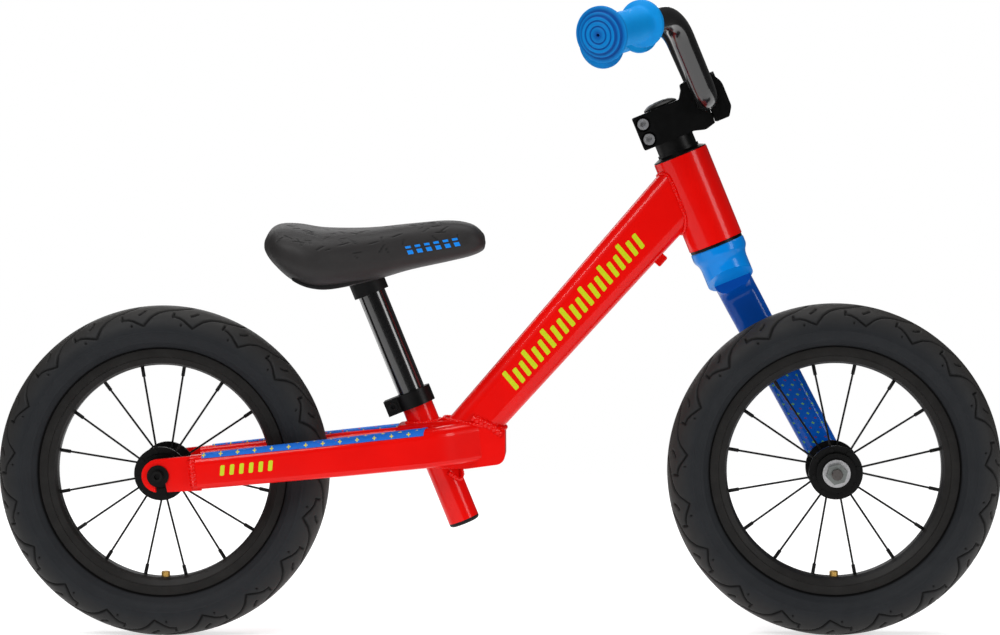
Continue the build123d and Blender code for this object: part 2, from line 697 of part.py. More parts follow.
with BuildPart() as fork_crown:
    with BuildSketch(HEAD_SIDE):
        with BuildLine():
            Line((0, CROWN_TOP), (HEAD_R - 1, CROWN_TOP))
            Line((HEAD_R - 1, CROWN_TOP), (HEAD_R, CROWN_TOP - 1))
            Line((HEAD_R, CROWN_TOP - 1), (HEAD_R, CROWN_TOP - 6))
            Spline(
                (HEAD_R, CROWN_TOP - 6), (CROWN_WAIST_R + 1.4, CROWN_TOP - 12), (CROWN_WAIST_R, CROWN_TOP - 19),
                tangents=[(0, -1), (0, -1)],
            )
            Line((CROWN_WAIST_R, CROWN_TOP - 19), (CROWN_WAIST_R, -60))
            Line((CROWN_WAIST_R, -60), (0, -60))
            Line((0, -60), (0, CROWN_TOP))
        make_face()
    revolve(axis=HEAD_AXIS)
    with BuildSketch(Plane(origin=HEAD.origin, x_dir=(0, 1, 0), z_dir=HEAD.x_dir)):
        with BuildLine():
            slope = (CROWN_CUT_FAR - CROWN_CUT_NEAR) / (2 * CROWN_WAIST_R)
            middle = (CROWN_CUT_FAR + CROWN_CUT_NEAR) / 2
            Polyline((-40, middle - 40 * slope), (40, middle + 40 * slope), (40, -90), (-40, -90), close=True)
        make_face()
    extrude(amount=40, both=True, mode=Mode.SUBTRACT)
    crown_envelope = fork_crown.part
    with BuildSketch(HEAD.offset(CROWN_BORE_DEPTH)):
        Circle(STEERER_R)
    extrude(amount=CROWN_TOP - CROWN_BORE_DEPTH, mode=Mode.SUBTRACT)
save(fork_crown, "fork_crown")

LEG_BEND_DROP = LEG_BEND_R + 4
with BuildPart() as fork_leg:
    with BuildLine() as bend:
        FilletPolyline(
            LEG.from_local_coords(Vector(0, -LEG_SIDE + 4, LEG_LENGTH)),
            LEG.from_local_coords(Vector(0, 0, LEG_LENGTH)),
            LEG.from_local_coords(Vector(0, 0, LEG_LENGTH - LEG_BEND_DROP)),
            radius=LEG_BEND_R,
        )
    with BuildSketch(Plane(origin=bend.line @ 0, x_dir=LEG.x_dir, z_dir=(0, 1, 0))):
        RectangleRounded(*LEG_TOP_SIZE, LEG_CORNER_R)
    sweep(path=bend.line)
    with BuildSketch(LEG.offset(LEG_LENGTH - LEG_BEND_DROP)):
        RectangleRounded(*LEG_TOP_SIZE, LEG_CORNER_R)
    with BuildSketch(LEG):
        RectangleRounded(*LEG_FOOT_SIZE, LEG_CORNER_R - 1)
    loft()
    with BuildSketch(Plane(origin=LEG.origin, x_dir=(1, 0, 0), z_dir=(0, 1, 0))):
        Circle(LEG_FOOT_SIZE[0] / 2)
    extrude(amount=LEG_BOSS_HALF, both=True)
    add(crown_envelope, mode=Mode.SUBTRACT)
    with BuildSketch(LEG.offset(LEG_LENGTH - LEG_BEND_DROP)):
        RectangleRounded(LEG_TOP_SIZE[0] - 2 * LEG_WALL, LEG_TOP_SIZE[1] - 2 * LEG_WALL, LEG_CORNER_R - LEG_WALL)
    with BuildSketch(LEG.offset(22)):
        RectangleRounded(LEG_FOOT_SIZE[0] - 2 * LEG_WALL, LEG_FOOT_SIZE[1] - 2 * LEG_WALL, LEG_CORNER_R - LEG_WALL)
    loft(mode=Mode.SUBTRACT)
    with BuildSketch(axle_plane(AXLE_X)):
        Circle(AXLE_R)
    extrude(amount=80, mode=Mode.SUBTRACT)
save(fork_leg, "fork_leg")

# ---------------------------------------------------------------- front axle

LEG_INNER = LEG_SIDE - LEG_BOSS_HALF
LEG_OUTER = LEG_SIDE + LEG_BOSS_HALF
NEAR_WASHER = -33.0
NUT_FLAT = 17.0
NUT_HEIGHT = 7.0

with BuildPart() as front_axle:
    with BuildSketch(axle_plane(AXLE_X, NEAR_WASHER - WASHER_THICKNESS - NUT_HEIGHT - 4)):
        Circle(AXLE_R)
    extrude(amount=LEG_OUTER + NUT_HEIGHT + 3 - NEAR_WASHER + WASHER_THICKNESS + NUT_HEIGHT + 4)
    chamfer(front_axle.edges().filter_by(GeomType.CIRCLE), 0.7)
save(front_axle, "front_axle")

with BuildPart() as front_axle_spacers:
    for start, end in ((NEAR_WASHER, -BEARING_FACE - SIDE_GAP), (BEARING_FACE + SIDE_GAP, LEG_INNER)):
        with BuildSketch(axle_plane(AXLE_X, start)):
            Circle(SPACER_R)
            Circle(AXLE_R, mode=Mode.SUBTRACT)
        extrude(amount=end - start)
save(front_axle_spacers, "front_axle_spacers")

with BuildPart() as front_axle_washers:
    for start in (NEAR_WASHER - WASHER_THICKNESS, LEG_OUTER):
        with BuildSketch(axle_plane(AXLE_X, start)):
            Circle(12.6)
            Circle(AXLE_R, mode=Mode.SUBTRACT)
        extrude(amount=WASHER_THICKNESS)
save(front_axle_washers, "front_axle_washers")

with BuildPart() as front_axle_nuts:
    for start in (NEAR_WASHER - WASHER_THICKNESS - NUT_HEIGHT, LEG_OUTER + WASHER_THICKNESS):
        with BuildSketch(axle_plane(AXLE_X, start)):
            RegularPolygon(NUT_FLAT / 2, 6, major_radius=False, rotation=15)
            Circle(AXLE_R, mode=Mode.SUBTRACT)
        extrude(amount=NUT_HEIGHT)
save(front_axle_nuts, "front_axle_nuts")


# ---------------------------------------------------------------- stem

PINCH_BACK = -21.0
PINCH_HEIGHTS = (110.0, 124.7)
PINCH_R = 3.0
PINCH_HEAD_R = 5.1
FACE_BOLT_RISE = 16.5
FACE_BOLT_SIDE = 12.0
FACE_BOLT_R = 2.5
PART_LINE = BAR_FORWARD - 0.5
FACE_BACK = BAR_FORWARD + 0.9
FACE_FRONT = 59.3


def face_bolt_spots():
    """Places of the faceplate bolts, as points across and up the stem's front."""
    return [(y, BAR_HEIGHT + rise) for y in (-FACE_BOLT_SIDE, FACE_BOLT_SIDE)
            for rise in (-FACE_BOLT_RISE, FACE_BOLT_RISE)]


def stem_front(x):
    """Plane square to the stem at x, facing forward, with its x to the left and its y up the axis."""
    return Plane(origin=HEAD.from_local_coords(Vector(x, 0, 0)), x_dir=(0, 1, 0), z_dir=HEAD.x_dir)


with BuildPart() as stem_body:
    with BuildSketch(HEAD_SIDE):
        with BuildLine():
            FilletPolyline(
                (-28.5, STEM_BOTTOM), (-28.5, STEM_TOP), (18, STEM_TOP), (22.5, 140), (23.5, 145.2),
                (29.5, 146.6), (PART_LINE, 147.2), (PART_LINE, 101.5), (30, 98.8), (19.5, STEM_BOTTOM),
                radius=(1.5, 1.5, 3, 1, 2, 2, 0.5, 1, 8, 5), close=True,
            )
        make_face()
    extrude(amount=STEM_HALF_WIDTH, both=True)
    with BuildSketch(HEAD.offset(STEM_BOTTOM - 10)):
        Circle(SLIP_R)
        with Locations((-24, 0)):
            Rectangle(24, 2)
    extrude(amount=STEM_TOP - STEM_BOTTOM + 11, mode=Mode.SUBTRACT)
    with BuildSketch(cross_axis(HEAD, BAR_FORWARD, BAR_HEIGHT)):
        Circle(BAR_R + RUNNING_GAP)
    extrude(amount=30, both=True, mode=Mode.SUBTRACT)
    for height in PINCH_HEIGHTS:
        with BuildSketch(cross_axis(HEAD, PINCH_BACK, height)):
            Circle(PINCH_R)
        extrude(amount=17, both=True, mode=Mode.SUBTRACT)
        with BuildSketch(cross_axis(HEAD, PINCH_BACK, height).offset(15)):
            Circle(PINCH_HEAD_R + 1.9)
        extrude(amount=10, mode=Mode.SUBTRACT)
    with BuildSketch(stem_front(26)):
        with Locations(*face_bolt_spots()):
            Circle(FACE_BOLT_R)
    extrude(amount=20, mode=Mode.SUBTRACT)
save(stem_body, "stem_body")

with BuildPart() as stem_faceplate:
    with BuildSketch(HEAD_SIDE):
        with BuildLine():
            FilletPolyline(
                (FACE_BACK, 101.8), (FACE_BACK, 147.6), (51, 147.6), (FACE_FRONT, 134), (FACE_FRONT, 110),
                (54, 101.8), radius=(0.8, 0.8, 6, 14, 8, 3), close=True,
            )
        make_face()
    extrude(amount=STEM_HALF_WIDTH, both=True)
    with BuildSketch(cross_axis(HEAD, BAR_FORWARD, BAR_HEIGHT)):
        Circle(BAR_R + RUNNING_GAP)
    extrude(amount=30, both=True, mode=Mode.SUBTRACT)
    with BuildSketch(stem_front(FACE_BACK)):
        with Locations(*face_bolt_spots()):
            Circle(FACE_BOLT_R)
    extrude(amount=20, mode=Mode.SUBTRACT)
    with BuildSketch(stem_front(FACE_FRONT - 8)):
        with Locations(*face_bolt_spots()):
            Circle(4.5)
    extrude(amount=20, mode=Mode.SUBTRACT)
save(stem_faceplate, "stem_faceplate")

with BuildPart() as stem_pinch_bolts:
    for height in PINCH_HEIGHTS:
        line = cross_axis(HEAD, PINCH_BACK, height)
        with BuildSketch(line.offset(-16)):
            Circle(PINCH_R)
        extrude(amount=31)
        with BuildSketch(line.offset(15)):
            Circle(PINCH_HEAD_R)
        extrude(amount=5)
        with BuildSketch(line.offset(17)):
            RegularPolygon(2.9, 6)
        extrude(amount=4, mode=Mode.SUBTRACT)
save(stem_pinch_bolts, "stem_pinch_bolts")

with BuildPart() as faceplate_bolts:
    with BuildSketch(stem_front(27)):
        with Locations(*face_bolt_spots()):
            Circle(FACE_BOLT_R)
    extrude(amount=FACE_FRONT - 8 - 27)
    with BuildSketch(stem_front(FACE_FRONT - 8)):
        with Locations(*face_bolt_spots()):
            Circle(4.2)
    extrude(amount=4.5)
    with BuildSketch(stem_front(FACE_FRONT - 6)):
        with Locations(*face_bolt_spots()):
            RegularPolygon(2.3, 6)
    extrude(amount=4, mode=Mode.SUBTRACT)
save(faceplate_bolts, "faceplate_bolts")

CAP_R = 15.8
CAP_BOLT_R = 3.0
with BuildPart() as top_cap:
    with BuildSketch(HEAD_SIDE):
        with BuildLine():
            Line((CAP_BOLT_R + 0.1, STEM_TOP + 0.2), (CAP_R, STEM_TOP + 0.2))
            Line((CAP_R, STEM_TOP + 0.2), (CAP_R, STEM_TOP + 1.6))
            ThreePointArc((CAP_R, STEM_TOP + 1.6), (CAP_R * 0.75, STEM_TOP + 4.2), (5.4, STEM_TOP + 5.2))
            Line((5.4, STEM_TOP + 5.2), (5.4, STEM_TOP + 2.2))
            Line((5.4, STEM_TOP + 2.2), (CAP_BOLT_R + 0.1, STEM_TOP + 2.2))
            Line((CAP_BOLT_R + 0.1, STEM_TOP + 2.2), (CAP_BOLT_R + 0.1, STEM_TOP + 0.2))
        make_face()
    revolve(axis=HEAD_AXIS)
save(top_cap, "top_cap")

STAR_NUT_FOOT = 112.0
with BuildPart() as top_cap_bolt:
    with BuildSketch(HEAD.offset(STAR_NUT_FOOT - 3)):
        Circle(CAP_BOLT_R)
    extrude(amount=STEM_TOP + 2.2 - STAR_NUT_FOOT + 3)
    with BuildSketch(HEAD.offset(STEM_TOP + 2.2)):
        Circle(5.0)
    extrude(amount=3.4)
    with BuildSketch(HEAD.offset(STEM_TOP + 3.6)):
        RegularPolygon(2.9, 6)
    extrude(amount=4, mode=Mode.SUBTRACT)
save(top_cap_bolt, "top_cap_bolt")

with BuildPart() as star_nut:
    for foot in (STAR_NUT_FOOT, STAR_NUT_FOOT + 7):
        with BuildSketch(HEAD.offset(foot)):
            Circle(STEERER_BORE_R)
            Circle(CAP_BOLT_R, mode=Mode.SUBTRACT)
        extrude(amount=1.2)
    with BuildSketch(HEAD.offset(STAR_NUT_FOOT)):
        Circle(5)
        Circle(CAP_BOLT_R, mode=Mode.SUBTRACT)
    extrude(amount=8)
save(star_nut, "star_nut")


# ---------------------------------------------------------------- handlebar and grips

BAR_CENTRE = HEAD.from_local_coords(Vector(BAR_FORWARD, 0, BAR_HEIGHT))


def bar_points(sign):
    """Corners of one half of the handlebar, from the stem outwards."""
    return [
        BAR_CENTRE + Vector(0, sign * BAR_FLAT_HALF, 0),
        Vector(BAR_RISER_TOP[0], sign * BAR_RISER_TOP[1], BAR_RISER_TOP[2]),
        Vector(BAR_END[0], sign * BAR_END[1], BAR_END[2]),
    ]


with BuildPart() as handlebar:
    with BuildLine() as bar_path:
        FilletPolyline(*reversed(bar_points(-1)), *bar_points(1), radius=(44, 27, 27, 44))
    with BuildSketch(Plane(origin=bar_path.line @ 0, z_dir=bar_path.line % 0)):
        Circle(BAR_R)
        Circle(BAR_R - BAR_WALL, mode=Mode.SUBTRACT)
    sweep(path=bar_path.line)
save(handlebar, "handlebar")

GRIP_BORE_R = BAR_R + 0.05
for side, sign in SIDES:
    corner, end = bar_points(sign)[1:]
    outward = (end - corner).normalized()
    across = Vector(0, 0, 1).cross(outward).normalized()
    grip_axis = Axis(end, outward)
    grip_plane = Plane(origin=end, x_dir=outward, z_dir=across)
    with BuildPart() as grip:
        with BuildSketch(grip_plane):
            with BuildLine():
                Polyline(
                    (-GRIP_LENGTH, GRIP_BORE_R), (-GRIP_LENGTH, 20.8), (-GRIP_LENGTH + 4.5, 20.8),
                    (-GRIP_LENGTH + 7.5, 15.3), (-8, 15.3), (-5.5, 24.2), (3.2, 24.2), (4.4, 21.0),
                    (4.4, 2.0), (0.1, 2.0), (0.1, GRIP_BORE_R), close=True,
                )
            make_face()
        revolve(axis=grip_axis)
    save(grip, f"grip_{side}")
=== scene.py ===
import json
import random
from math import cos, pi, radians, sin, sqrt

import bpy
import numpy as np
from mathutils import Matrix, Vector


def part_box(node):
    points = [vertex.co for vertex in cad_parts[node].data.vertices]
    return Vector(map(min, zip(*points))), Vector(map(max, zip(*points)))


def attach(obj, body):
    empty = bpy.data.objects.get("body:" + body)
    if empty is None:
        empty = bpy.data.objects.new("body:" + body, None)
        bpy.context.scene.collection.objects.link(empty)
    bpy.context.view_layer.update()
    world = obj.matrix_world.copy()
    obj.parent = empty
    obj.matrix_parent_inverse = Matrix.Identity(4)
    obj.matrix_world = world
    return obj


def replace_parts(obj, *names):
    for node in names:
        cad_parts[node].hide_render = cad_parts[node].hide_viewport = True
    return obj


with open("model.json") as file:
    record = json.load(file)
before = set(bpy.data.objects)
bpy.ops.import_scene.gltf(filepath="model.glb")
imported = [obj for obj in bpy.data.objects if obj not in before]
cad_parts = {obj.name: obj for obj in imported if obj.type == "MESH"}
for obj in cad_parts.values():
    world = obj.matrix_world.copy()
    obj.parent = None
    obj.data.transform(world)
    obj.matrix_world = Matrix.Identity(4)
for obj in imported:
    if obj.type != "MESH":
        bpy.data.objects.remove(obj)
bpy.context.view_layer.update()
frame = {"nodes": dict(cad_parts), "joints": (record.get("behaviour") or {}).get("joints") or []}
cad = frame["nodes"]
joints = {joint["name"]: joint for joint in frame["joints"]}
MM = 0.001


# ---------------------------------------------------------------- places on the bike

def middle(node):
    """Middle of a CAD piece's box."""
    low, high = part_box(node)
    return (low + high) / 2


REAR_AXLE = Vector(joints["rear_wheel_spin"]["pos_m"])
FRONT_AXLE = Vector(joints["front_wheel_spin"]["pos_m"])
HEAD_FOOT = Vector(joints["steering"]["pos_m"])
HEAD_UP = Vector(joints["steering"]["axis"])
SEAT_UP = Vector(joints["seat_height"]["axis"])
SEAT_FOOT = Vector((-31.9, 0, 107.5)) * MM
DOWN_FOOT = Vector((-28.2, 0, 187.6)) * MM
DOWN_UP = Vector((sin(radians(41.8)), 0, cos(radians(41.8))))
DOWN_FRONT = Vector((cos(radians(41.8)), 0, -sin(radians(41.8))))
STAY_PITCH = radians(5.7)
STAY_FOOT = Vector((-272, 0, 155.8)) * MM
STAY_ALONG = Vector((cos(STAY_PITCH), 0, sin(STAY_PITCH)))
STAY_UP = Vector((-sin(STAY_PITCH), 0, cos(STAY_PITCH)))
HEAD_R = 25.5 * MM
SEAT_TUBE_R = 14.3 * MM
SIDES = (("right", -1), ("left", 1))


# ---------------------------------------------------------------- camera, light and floor

def aim(thing, place, target):
    """Put a camera or a light at place, facing target."""
    thing.location = place
    thing.rotation_euler = (Vector(target) - Vector(place)).to_track_quat("-Z", "Y").to_euler()
    bpy.context.scene.collection.objects.link(thing)


CAMERA_ROLL = -0.00503
camera = bpy.data.objects.new("camera", bpy.data.cameras.new("camera"))
camera.data.sensor_width = 36
camera.data.lens = 115.96
camera.data.clip_end = 100
aim(camera, (0.0955, -2.942, 0.4827), (0.0024, 0, 0.2929))
camera.rotation_euler.rotate_axis("Z", CAMERA_ROLL)
bpy.context.scene.camera = camera


def softbox(name, place, target, width, height, power):
    """A rectangular studio light."""
    lamp = bpy.data.lights.new(name, "AREA")
    lamp.shape = "RECTANGLE"
    lamp.size = width
    lamp.size_y = height
    lamp.energy = power
    aim(bpy.data.objects.new(name, lamp), place, target)


softbox("key_softbox", (-1.3, -2.2, 2.5), (0, 0, 0.25), 2.2, 1.4, 72)
softbox("front_softbox", (2.6, -1.8, 1.1), (0, 0, 0.25), 0.9, 1.6, 27)
softbox("top_softbox", (0, 0.5, 2.6), (0, 0, 0.2), 2.4, 0.9, 34)
softbox("back_softbox", (-0.6, 2.8, 1.6), (0, 0, 0.25), 2.4, 1.2, 20)

scene = bpy.context.scene
scene.view_settings.view_transform = "Standard"
scene.view_settings.look = "None"


# ---------------------------------------------------------------- finishes

def colour(red, green, blue):
    """Linear colour from screen values of 0 to 255."""
    return tuple(
        part / 12.92 if part <= 0.04045 else ((part + 0.055) / 1.055) ** 2.4
        for part in (red / 255, green / 255, blue / 255)
    ) + (1.0,)


class Reading:
    """A value that changes over a surface, which sums can be written with."""

    def __init__(self, finish, socket):
        self.finish = finish
        self.socket = socket

    def sum(self, operation, first, second=0.0):
        return self.finish.add("ShaderNodeMath", {"operation": operation}, {0: first, 1: second})

    def __add__(self, other):
        return self.sum("ADD", self, other)

    __radd__ = __add__

    def __sub__(self, other):
        return self.sum("SUBTRACT", self, other)

    def __rsub__(self, other):
        return self.sum("SUBTRACT", other, self)

    def __mul__(self, other):
        return self.sum("MULTIPLY", self, other)

    __rmul__ = __mul__

    def __truediv__(self, other):
        return self.sum("DIVIDE", self, other)

    def __abs__(self):
        return self.sum("ABSOLUTE", self)

    def __mod__(self, period):
        return self.sum("FLOORED_MODULO", self, period)

    def __lt__(self, edge):
        return self.sum("LESS_THAN", self, edge)

    def __gt__(self, edge):
        return self.sum("GREATER_THAN", self, edge)

    def least(self, other):
        return self.sum("MINIMUM", self, other)

    def most(self, other):
        return self.sum("MAXIMUM", self, other)


class Finish:
    """A material and the nodes that shade it."""

    def __init__(self, name, **fixed):
        self.material = bpy.data.materials.new(name)
        self.material.use_nodes = True
        self.tree = self.material.node_tree
        self.shader = self.tree.nodes["Principled BSDF"]
        self.place = self.add("ShaderNodeTexCoord", {}, {}, "Object")
        for socket, value in fixed.items():
            self.shade(socket.replace("_", " "), value)

    def add(self, kind, settings, values, output=0):
        node = self.tree.nodes.new(kind)
        for setting, value in settings.items():
            if setting == "stops":
                ramp = node.color_ramp.elements
                ramp[0].position, ramp[0].color = value[0]
                ramp[1].position, ramp[1].color = value[-1]
                for place, tint in value[1:-1]:
                    ramp.new(place).color = tint
            else:
                setattr(node, setting, value)
        for socket, value in values.items():
            self.feed(node.inputs[socket], value)
        return Reading(self, node.outputs[output])

    def feed(self, socket, value):
        if isinstance(value, Reading):
            self.tree.links.new(value.socket, socket)
        else:
            socket.default_value = value

    def shade(self, socket, value):
        self.feed(self.shader.inputs[socket], value)

    def noise(self, scale, detail=3.0, rough=0.55, place=None):
        values = {"Vector": place or self.place, "Scale": scale, "Detail": detail, "Roughness": rough}
        return self.add("ShaderNodeTexNoise", {}, values)

    def stretched(self, x, y, z):
        """The place on the piece, scaled differently along each axis."""
        return self.add("ShaderNodeVectorMath", {"operation": "MULTIPLY"}, {0: self.place, 1: (x, y, z)})

    def coordinates(self):
        """The place on the piece as its three numbers, in millimetres."""
        split = self.add("ShaderNodeSeparateXYZ", {}, {"Vector": self.place})
        node = split.socket.node
        return [Reading(self, node.outputs[axis]) * 1000 for axis in range(3)]

    def ramp(self, value, *stops):
        return self.add("ShaderNodeValToRGB", {"stops": stops}, {0: value})

    def mix(self, factor, first, second):
        return self.add("ShaderNodeMix", {"data_type": "RGBA"}, {0: factor, 6: first, 7: second}, 2)

    def raise_by(self, height, distance, strength=1.0):
        bump = self.add("ShaderNodeBump", {}, {"Strength": strength, "Distance": distance, "Height": height})
        self.shade("Normal", bump)


def gloss_paint(name, main, deep, coat=0.3, peel=0.000012):
    """Sprayed enamel under clear coat, with a faint orange peel and a few dust nibs."""
    paint = Finish(name, Coat_Roughness=0.07, Specular_IOR_Level=0.08)
    cloud = paint.noise(24, 2)
    grain = paint.noise(3000, 2)
    paint.tint = paint.mix((cloud * 0.7 + grain * 0.3 - 0.25).most(0), main, deep)
    paint.shade("Base Color", paint.tint)
    paint.shade("Roughness", 0.24 + 0.14 * paint.noise(120, 4))
    paint.shade("Coat Weight", coat)
    nibs = (paint.noise(700, 1) - 0.74).most(0) * 6
    paint.raise_by(paint.noise(220, 2) + nibs, peel)
    return paint


def dark_coating(name, main, worn, rough, bump=0.00003, scale=1200, metal=0.0, level=0.15):
    """Dark painted or anodised metal, with a fine tooth and slightly rubbed patches."""
    coating = Finish(name, Specular_IOR_Level=level, Metallic=metal)
    rubbed = (coating.noise(60, 5, 0.65) - 0.42).most(0) * 2.2
    coating.shade("Base Color", coating.mix(rubbed.least(1), main, worn))
    coating.shade("Roughness", rough + 0.12 * coating.noise(240, 4))
    coating.raise_by(coating.noise(scale, 3), bump)
    return coating


def steel(name, main, stained, rough):
    """Plated steel with fine turning marks and dull spots."""
    metal = Finish(name, Metallic=0.8)
    spots = (metal.noise(500, 5, 0.7) - 0.5).most(0) * 3
    metal.shade("Base Color", metal.mix(spots.least(1), main, stained))
    metal.shade("Roughness", rough + 0.2 * metal.noise(900, 4))
    lines = metal.noise(900, 3, 0.6, metal.stretched(1, 0.05, 1))
    metal.raise_by(lines, 0.00004)
    return metal


RED = colour(236, 10, 4)
DEEP_RED = colour(205, 3, 2)
GRIP_BLUE = colour(0, 154, 232)
LIME = colour(205, 216, 0)

frame_paint = gloss_paint("frame_paint", RED, DEEP_RED)

crown_paint = gloss_paint("crown_paint", colour(0, 136, 226), colour(0, 114, 208))


def cross(across, along, arm, half_width):
    """Mask of a small plus sign about a middle."""
    upright = (abs(across) < half_width) * (abs(along) < arm)
    level = (abs(along) < half_width) * (abs(across) < arm)
    return upright.most(level)


LEG_TOP = middle("fork_crown")
LEG_UP = Vector((LEG_TOP.x - FRONT_AXLE.x, 0, LEG_TOP.z - FRONT_AXLE.z)).normalized()


def leg_marks(paint):
    """Small plus signs on a slanted grid over the lower part of the leg's face."""
    x, y, z = paint.coordinates()
    from_x = x - FRONT_AXLE.x * 1000
    from_z = z - FRONT_AXLE.z * 1000
    up = from_x * LEG_UP.x + from_z * LEG_UP.z
    across = from_x * LEG_UP.z - from_z * LEG_UP.x
    slanted = up + across * 0.5
    region = (up > 18) * (up < 118) * (abs(across) < 12.5)
    yellow = cross(across % 8 - 4, slanted % 10 - 5, 1.25, 0.42) * region
    red = cross((across + 4) % 8 - 4, (slanted + 5) % 10 - 5, 1.05, 0.42) * region
    return yellow, red


fork_paint = gloss_paint("fork_paint", colour(0, 84, 184), colour(0, 66, 160))
leg_yellow, leg_red = leg_marks(fork_paint)
leg_tint = fork_paint.mix(leg_yellow, fork_paint.tint, colour(110, 165, 70))
fork_paint.shade("Base Color", fork_paint.mix(leg_red, leg_tint, colour(110, 50, 90)))

foot_tape = Finish("foot_grip_tape", Specular_IOR_Level=0.35)
tape_x, tape_y, tape_z = foot_tape.coordinates()
tape_along = (tape_x + 272) * STAY_ALONG.x + (tape_z - 155.8) * STAY_ALONG.z
tape_up = (tape_z - 155.8) * STAY_UP.z + (tape_x + 272) * STAY_UP.x
plus = cross(tape_along % 15.6 - 7.8, tape_up - 15, 1.7, 0.45) * (abs(tape_y) > 30)
top_row = cross((tape_along + 7.8) % 15.6 - 7.8, abs(tape_y) % 12 - 6, 1.7, 0.45) * (tape_up > 17.3)
dash = cross((tape_along + 3.9) % 15.6 - 7.8, (abs(tape_y) + 6) % 12 - 6, 1.1, 0.5) * (tape_up > 16)
tape_tint = foot_tape.mix(foot_tape.noise(500, 4), colour(0, 92, 200), colour(10, 120, 225))
tape_tint = foot_tape.mix(plus.most(top_row), tape_tint, colour(232, 214, 40))
foot_tape.shade("Base Color", foot_tape.mix(dash, tape_tint, colour(215, 40, 50)))
foot_tape.shade("Roughness", 0.55 + 0.25 * foot_tape.noise(1500, 3))
foot_tape.raise_by(foot_tape.noise(2600, 3, 0.7), 0.00025)

gloss_black = gloss_paint("black_gloss_paint", colour(9, 9, 10), colour(5, 5, 6), 0.9, 0.00002)
gloss_black.shade("Specular IOR Level", 0.5)
gloss_black.shade("Roughness", 0.16 + 0.1 * gloss_black.noise(150, 4))
anodised = dark_coating("black_anodised", colour(7, 7, 7), colour(16, 16, 16), 0.3)
rim_black = dark_coating("rim_black", colour(28, 27, 26), colour(38, 37, 36), 0.42)
moulded_black = dark_coating("black_plastic", colour(16, 16, 17), colour(28, 28, 29), 0.45, 0.0001, 800)
spoke_black = dark_coating("black_steel", colour(9, 9, 9), colour(22, 22, 22), 0.36)
bright_steel = steel("bare_steel", colour(196, 196, 198), colour(150, 148, 145), 0.2)
nut_steel = steel("nut_steel", colour(128, 132, 130), colour(96, 98, 96), 0.26)
axle_steel = steel("axle_steel", colour(92, 88, 86), colour(66, 62, 60), 0.34)
brass = steel("valve_brass", colour(200, 160, 84), colour(150, 112, 55), 0.28)
butyl = dark_coating("butyl_rubber", colour(18, 18, 18), colour(30, 30, 31), 0.6, 0.0001, 600)

lime_print = Finish("lime_print", Coat_Weight=0.5, Coat_Roughness=0.1)
lime_print.shade("Base Color", lime_print.mix(lime_print.noise(300, 4), LIME, colour(190, 203, 4)))
lime_print.shade("Roughness", 0.3 + 0.1 * lime_print.noise(600, 3))
lime_print.raise_by(lime_print.noise(500, 2), 0.00003)

grip_rubber = Finish("grip_rubber", Specular_IOR_Level=0.15)
flange = grip_rubber.add("ShaderNodeAttribute", {"attribute_name": "flange"}, {}, "Fac")
grip_tint = grip_rubber.mix(grip_rubber.noise(70, 4) * 0.7, GRIP_BLUE, colour(0, 132, 216))
# Painted shade: deep blue in the rings cut in the grip's end, over a slightly darker tone across the whole flange.
grip_rubber.shade("Base Color", grip_rubber.mix(flange, grip_tint, colour(0, 66, 150)))
grip_rubber.shade("Roughness", 0.48 + 0.2 * grip_rubber.noise(400, 4))
grip_rubber.raise_by(grip_rubber.noise(1900, 3, 0.65), 0.00008)

tyre_rubber = Finish("tyre_rubber", Specular_IOR_Level=0.16)
cut = tyre_rubber.add("ShaderNodeAttribute", {"attribute_name": "cut"}, {}, "Fac")
crown_wear = tyre_rubber.add("ShaderNodeAttribute", {"attribute_name": "crown"}, {}, "Fac")
rubber_cloud = tyre_rubber.noise(45, 5, 0.6)
side_tint = tyre_rubber.mix(rubber_cloud, colour(27, 29, 32), colour(38, 40, 43))
worn_tint = tyre_rubber.mix(crown_wear * (0.6 + 0.5 * rubber_cloud), side_tint, colour(50, 48, 46))
# Painted shade: near-black wherever the cut mask is set, in the tread grooves and along the bead gap at the rim.
tyre_rubber.shade("Base Color", tyre_rubber.mix(cut, worn_tint, colour(2, 2, 2)))
tyre_rubber.shade("Roughness", 0.5 + 0.2 * tyre_rubber.noise(160, 5) - 0.06 * crown_wear)
tyre_rubber.raise_by(tyre_rubber.noise(1500, 4, 0.7), 0.00012)

saddle_foam = Finish("saddle_foam", Specular_IOR_Level=0.28)
foam_x, foam_y, foam_z = saddle_foam.coordinates()
press = saddle_foam.add("ShaderNodeAttribute", {"attribute_name": "press"}, {}, "Fac")
mark_run = foam_x + (foam_z - 357) * 0.45
mark_rise = foam_z - 358.5 - (foam_x + 63) * 0.16
rungs = (mark_run % 9 < 5.2) * (mark_run > -81) * (mark_run < -28)
bars = ((abs(mark_rise - 3.2) < 1.1).most(abs(mark_rise + 1.6) < 1.9)) * rungs
foam_tint = saddle_foam.mix(saddle_foam.noise(60, 4), colour(33, 31, 31), colour(43, 41, 41))
# Painted shade: near-black inside the strokes pressed into the foam.
foam_tint = saddle_foam.mix(press * 0.9, foam_tint, colour(3, 3, 3))
saddle_foam.shade("Base Color", saddle_foam.mix(bars * (abs(foam_y) > 14), foam_tint, colour(0, 134, 235)))
saddle_foam.shade("Roughness", 0.46 + 0.16 * saddle_foam.noise(300, 4))
saddle_foam.raise_by(saddle_foam.noise(1300, 4, 0.7), 0.00012)


# ---------------------------------------------------------------- floor and surroundings

def disc(name, radius, finish):
    """The round studio floor that the tyres stand on."""
    rim = [(radius * cos(2 * pi * step / 96), radius * sin(2 * pi * step / 96), 0) for step in range(96)]
    mesh = bpy.data.meshes.new(name)
    mesh.from_pydata(rim, [], [tuple(range(96))])
    mesh.materials.append(finish.material)
    floor = bpy.data.objects.new(name, mesh)
    bpy.context.scene.collection.objects.link(floor)
    return floor


